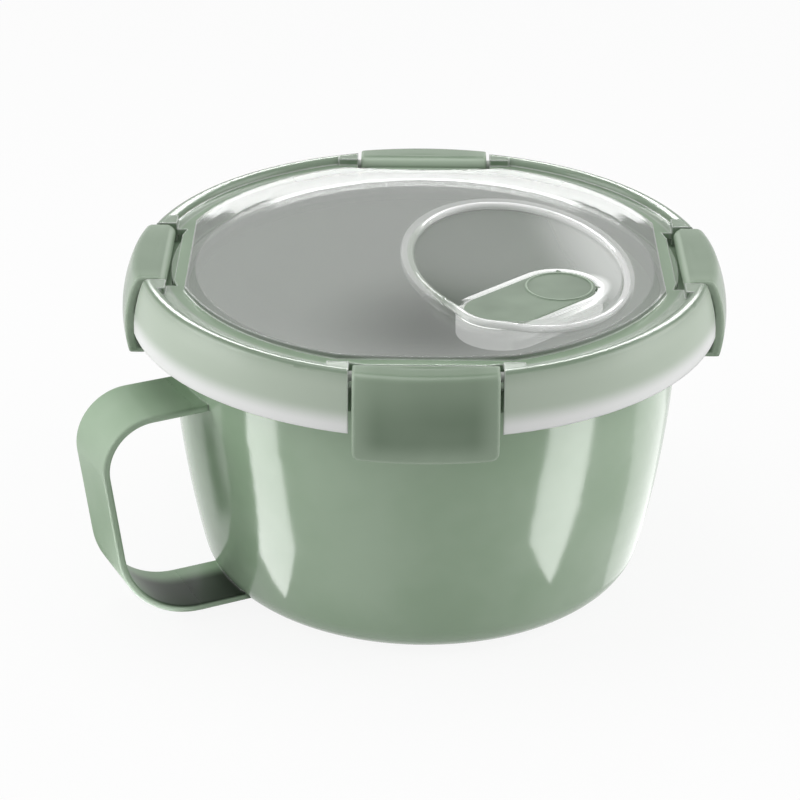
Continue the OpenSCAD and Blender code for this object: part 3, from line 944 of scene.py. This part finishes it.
class MUG_OT_clips(bpy.types.Operator):
    """Rounds and dresses the four clips."""

    bl_idname = "mug.clips"
    bl_label = "Clips"

    def execute(self, context):
        """Makes a rounded copy of each clip and paints the pins."""
        look = context.scene.mug_look
        plastic = moulded_plastic(
            "clip_plastic", look.clip_colour, look.clip_edge_colour, look.clip_edge,
            look.green_roughness + CLIP_ROUGHER, flow=CLIP_FLOW, edge_highlight=CLIP_HIGHLIGHT,
            paler_at=lambda finish, place, line: clip_paler(finish, place, line, look))
        pins = moulded_plastic(
            "pin_plastic", look.pin_colour, look.pin_colour, look.lid_edge, PIN_ROUGHNESS)
        for place in CLIP_PLACES:
            clip = copy_node(f"{place}_clip", f"{place}_clip_moulded")
            soften(clip, look.clip_grid, look.clip_passes)
            wear(clip, plastic)
            stand_for(clip, f"{place}_clip", f"{place}_clip")
            paint_node(f"{place}_clip_pin", pins)
        return {"FINISHED"}


class MUG_OT_lid(bpy.types.Operator):
    """Dresses the lid and the seals."""

    bl_idname = "mug.lid"
    bl_label = "Lid"

    def execute(self, context):
        """Gives the lid its see-through plastic and the seals their rubber."""
        look = context.scene.mug_look
        paint_node("lid", lid_plastic(look))
        rubber = soft_rubber("seal_rubber", look.seal_colour)
        paint_node("lid_seal", rubber)
        paint_node("vent_seal", rubber)
        return {"FINISHED"}


def rim_share(point, look):
    """How far out a point of the lid lies on the scoop: 1 on its rim."""
    offset = Vector((point.x, point.y)) - Vector(look.scoop_middle)
    offset.rotate(Matrix.Rotation(-look.scoop_turn, 2))
    return math.hypot(offset.x / look.scoop_half[0], offset.y / look.scoop_half[1])


def keep_rim_edges(lid, look):
    """Leaves only the edge round the scoop and the pocket on a copy of the lid."""
    bpy.ops.object.mode_set(mode="EDIT")
    bpy.ops.mesh.select_mode(type="EDGE")
    bpy.ops.mesh.select_all(action="DESELECT")
    bpy.ops.mesh.edges_select_sharp(sharpness=RIM_SHARP)
    bpy.ops.object.mode_set(mode="OBJECT")
    level = look.panel_top - RIM_BELOW
    inside, outside = RIM_SHARES
    points = [point.co for point in lid.data.vertices]
    on_rim = [p.z > level and inside < rim_share(p, look) < outside for p in points]
    for edge in lid.data.edges:
        edge.select = not (edge.select and all(on_rim[end] for end in edge.vertices))
    bpy.ops.object.mode_set(mode="EDIT")
    bpy.ops.mesh.delete(type="EDGE")
    bpy.ops.object.mode_set(mode="OBJECT")
    if not len(lid.data.vertices) == len(lid.data.edges) > RIM_LEAST_POINTS:
        raise RuntimeError("the scoop's rim isn't one closed line")


class MUG_OT_scoop_rim(bpy.types.Operator):
    """Makes the rounded rim of the finger scoop."""

    bl_idname = "mug.scoop_rim"
    bl_label = "Scoop Rim"

    def execute(self, context):
        """Lifts the scoop's edge off a copy of the lid and makes a bead along it."""
        look = context.scene.mug_look
        rim = copy_node("lid", "scoop_rim")
        keep_rim_edges(rim, look)
        bpy.ops.object.mode_set(mode="EDIT")
        bpy.ops.mesh.select_all(action="SELECT")
        bpy.ops.mesh.subdivide(number_cuts=RIM_CUTS)
        bpy.ops.mesh.vertices_smooth(factor=SMOOTHING, repeat=RIM_PASSES)
        spread = 1.0 + look.rim_out / look.scoop_half[0]
        middle = (*look.scoop_middle, 0.0)
        bpy.ops.transform.resize(value=(spread, spread, 1.0), center_override=middle)
        bpy.ops.transform.translate(value=(0.0, 0.0, -look.rim_sunk))
        bpy.ops.object.mode_set(mode="OBJECT")
        bpy.ops.object.convert(target="CURVE")
        context.object.data.bevel_depth = look.rim_bead
        context.object.data.bevel_resolution = BEAD_RESOLUTION
        bpy.ops.object.convert(target="MESH")
        bpy.ops.object.shade_smooth()
        rim = context.object
        wear(rim, bead_plastic(look))
        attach(rim, "lid")
        return {"FINISHED"}


class MUG_OT_flap(bpy.types.Operator):
    """Dresses the vent flap."""

    bl_idname = "mug.flap"
    bl_label = "Vent Flap"

    def execute(self, context):
        """Gives the flap its green plastic."""
        look = context.scene.mug_look
        paint_node("vent_flap", moulded_plastic(
            "flap_plastic", look.flap_colour, look.pale_green, FLAP_EDGE,
            look.green_roughness + FLAP_ROUGHER,
            paler_at=lambda finish, place, line: flap_paler(finish, place, line, look)))
        return {"FINISHED"}


# Studio


def white_rays(finish):
    """1 for the rays that meet a white background: the camera's, gloss and see-through ones."""
    kinds = ("Is Camera Ray", "Is Glossy Ray", "Is Transmission Ray")
    camera, gloss, through = (finish.node("ShaderNodeLightPath", output=kind) for kind in kinds)
    return camera.most(gloss).most(through)


def floor_finish():
    """A pale floor that stays white and keeps a soft shadow."""
    finish = Finish("pale_floor")
    card = finish.node("ShaderNodeBsdfDiffuse", {}, {"Color": opaque(FLOOR_COLOUR)})
    glow = finish.node("ShaderNodeEmission", {}, {"Strength": 1.0})
    far = radius_of(finish, finish.place()).step(*FLOOR_FADE)
    white = white_rays(finish) * (far * (1.0 - FLOOR_WHITE) + FLOOR_WHITE)
    return finish.done(finish.node("ShaderNodeMixShader", {}, {0: white, 1: card, 2: glow}))


def glow_finish(strength):
    """A card that shines evenly."""
    finish = Finish("bright_card")
    return finish.done(finish.node("ShaderNodeEmission", {}, {"Strength": strength}))


def flag_finish():
    """A dark strip with soft edges that runs off to the left behind the handle, clear beside it."""
    finish = Finish("dark_flag")
    place = finish.place()
    middle = photo_point(*FLAG_MIDDLE)
    aside = along(finish, place, middle, photo_point(*FLAG_ASIDE)).size()
    strip = 1.0 - aside.step(*FLAG_SIDE)
    ends = along(finish, place, middle, photo_point(*FLAG_RUN)).between(*FLAG_ENDS, FLAG_END_BLEND)
    clear = finish.node("ShaderNodeBsdfTransparent")
    dark = finish.node("ShaderNodeEmission", {}, {"Strength": 0.0})
    return finish.done(finish.node("ShaderNodeMixShader", {}, {0: strip * ends, 1: clear, 2: dark}))


def white_world(fill):
    """Light from all round, with a white background."""
    finish = Finish("studio", world=True)
    level = white_rays(finish) * (1.0 - fill) + fill
    light = {"Color": opaque((1.0, 1.0, 1.0)), "Strength": level}
    bpy.context.scene.world = finish.done(finish.node("ShaderNodeBackground", {}, light))


def area_light(name, spot, size, power):
    """A soft rectangular lamp that faces the mug."""
    deselect()
    stand = photo_point(*spot)
    bpy.ops.object.light_add(type="AREA", location=stand)
    lamp = bpy.context.object
    lamp.name = name
    lamp.rotation_euler = (Vector(LAMP_AIM) - stand).to_track_quat("-Z", "Y").to_euler()
    lamp.data.shape = "RECTANGLE"
    lamp.data.size, lamp.data.size_y = size
    lamp.data.energy = power


def gloss_only(card, material, *pieces):
    """Gives a card its material and shows it only in the gloss of a few pieces."""
    wear(card, material)
    seen_by = bpy.data.collections.new(f"{card.name}_seen_by")
    for piece in pieces:
        seen_by.objects.link(bpy.data.objects[piece])
    card.light_linking.receiver_collection = seen_by
    card.visible_camera = False
    card.visible_diffuse = False
    card.visible_transmission = False
    card.visible_shadow = False


def floor_card(name, corners, material):
    """A card lying on the floor, cut to a row of corners, that the bowl's gloss sees."""
    deselect()
    bpy.ops.mesh.primitive_circle_add(vertices=len(corners), fill_type="NGON")
    card = bpy.context.object
    card.name = name
    for point, (right, away) in zip(card.data.vertices, corners):
        point.co = photo_point(right * MM, away * MM, CARD_LIFT)
    gloss_only(card, material, "bowl_moulded")


def rear_card(name, spot, size, material):
    """A card behind the mug that faces it and that the lid's gloss sees."""
    deselect()
    stand = photo_point(*spot)
    bpy.ops.mesh.primitive_plane_add(size=1.0)
    card = bpy.context.object
    card.name = name
    card.scale = (*size, 1.0)
    card.rotation_euler = (-stand).to_track_quat("-Z", "Y").to_euler()
    card.location = stand
    bpy.ops.object.transform_apply()
    gloss_only(card, material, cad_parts["lid"].name, "scoop_rim")


class MUG_OT_stage(bpy.types.Operator):
    """Sets up the floor, the lights and the camera."""

    bl_idname = "mug.stage"
    bl_label = "Stage"

    def execute(self, context):
        """Makes the studio."""
        studio = context.scene.mug_studio
        context.scene.view_settings.view_transform = "Standard"
        deselect()
        bpy.ops.mesh.primitive_plane_add(size=studio.floor_size)
        floor = context.object
        floor.name = "floor"
        wear(floor, floor_finish())
        white_world(studio.fill)
        area_light("overhead", OVERHEAD_SPOT, OVERHEAD_SIZE, studio.key)
        area_light("left_softbox", LEFT_SPOT, SIDE_SIZE, studio.left_side)
        area_light("right_softbox", RIGHT_SPOT, SIDE_SIZE, studio.right_side)
        shine = glow_finish(studio.strip)
        floor_card("left_card", LEFT_CARD, shine)
        floor_card("right_card", RIGHT_CARD, shine)
        floor_card("far_right_card", FAR_RIGHT_CARD, glow_finish(studio.far_strip))
        floor_card("dark_flag", DARK_FLAG, flag_finish())
        rear_card("rear_card", REAR_SPOT, REAR_SIZE, glow_finish(studio.rear))
        deselect()
        bpy.ops.object.camera_add(location=studio.eye)
        camera = context.object
        gaze = (Vector(studio.aim) - Vector(studio.eye)).to_track_quat("-Z", "Y")
        camera.rotation_euler = (gaze.to_matrix() @ Matrix.Rotation(studio.roll, 3, "Z")).to_euler()
        camera.data.lens = studio.lens
        camera.data.sensor_width = SENSOR_WIDTH
        camera.data.clip_end = FAR_CLIP
        context.scene.camera = camera
        return {"FINISHED"}


class MUG_PT_sidebar(bpy.types.Panel):
    """Lists the steps that dress the mug."""

    bl_idname = "MUG_PT_sidebar"
    bl_label = "Soup Mug"
    bl_space_type = "VIEW_3D"
    bl_region_type = "UI"
    bl_category = "Mug"

    def draw(self, context):
        """Shows a button for each step."""
        for step in STEPS:
            self.layout.operator(step.bl_idname)


STEPS = (MUG_OT_bowl, MUG_OT_clips, MUG_OT_lid, MUG_OT_scoop_rim, MUG_OT_flap, MUG_OT_stage)
CLASSES = (MugLook, MugStudio, *STEPS, MUG_PT_sidebar)


def register():
    """Adds the classes and the settings."""
    for cls in CLASSES:
        bpy.utils.register_class(cls)
    bpy.types.Scene.mug_look = bpy.props.PointerProperty(type=MugLook)
    bpy.types.Scene.mug_studio = bpy.props.PointerProperty(type=MugStudio)


def unregister():
    """Takes the settings and the classes away."""
    del bpy.types.Scene.mug_studio
    del bpy.types.Scene.mug_look
    for cls in reversed(CLASSES):
        bpy.utils.unregister_class(cls)


def main():
    """Dresses the mug step by step."""
    register()
    bpy.ops.mug.bowl()
    bpy.ops.mug.clips()
    bpy.ops.mug.lid()
    bpy.ops.mug.scoop_rim()
    bpy.ops.mug.flap()
    bpy.ops.mug.stage()


if __name__ == "__main__":
    main()
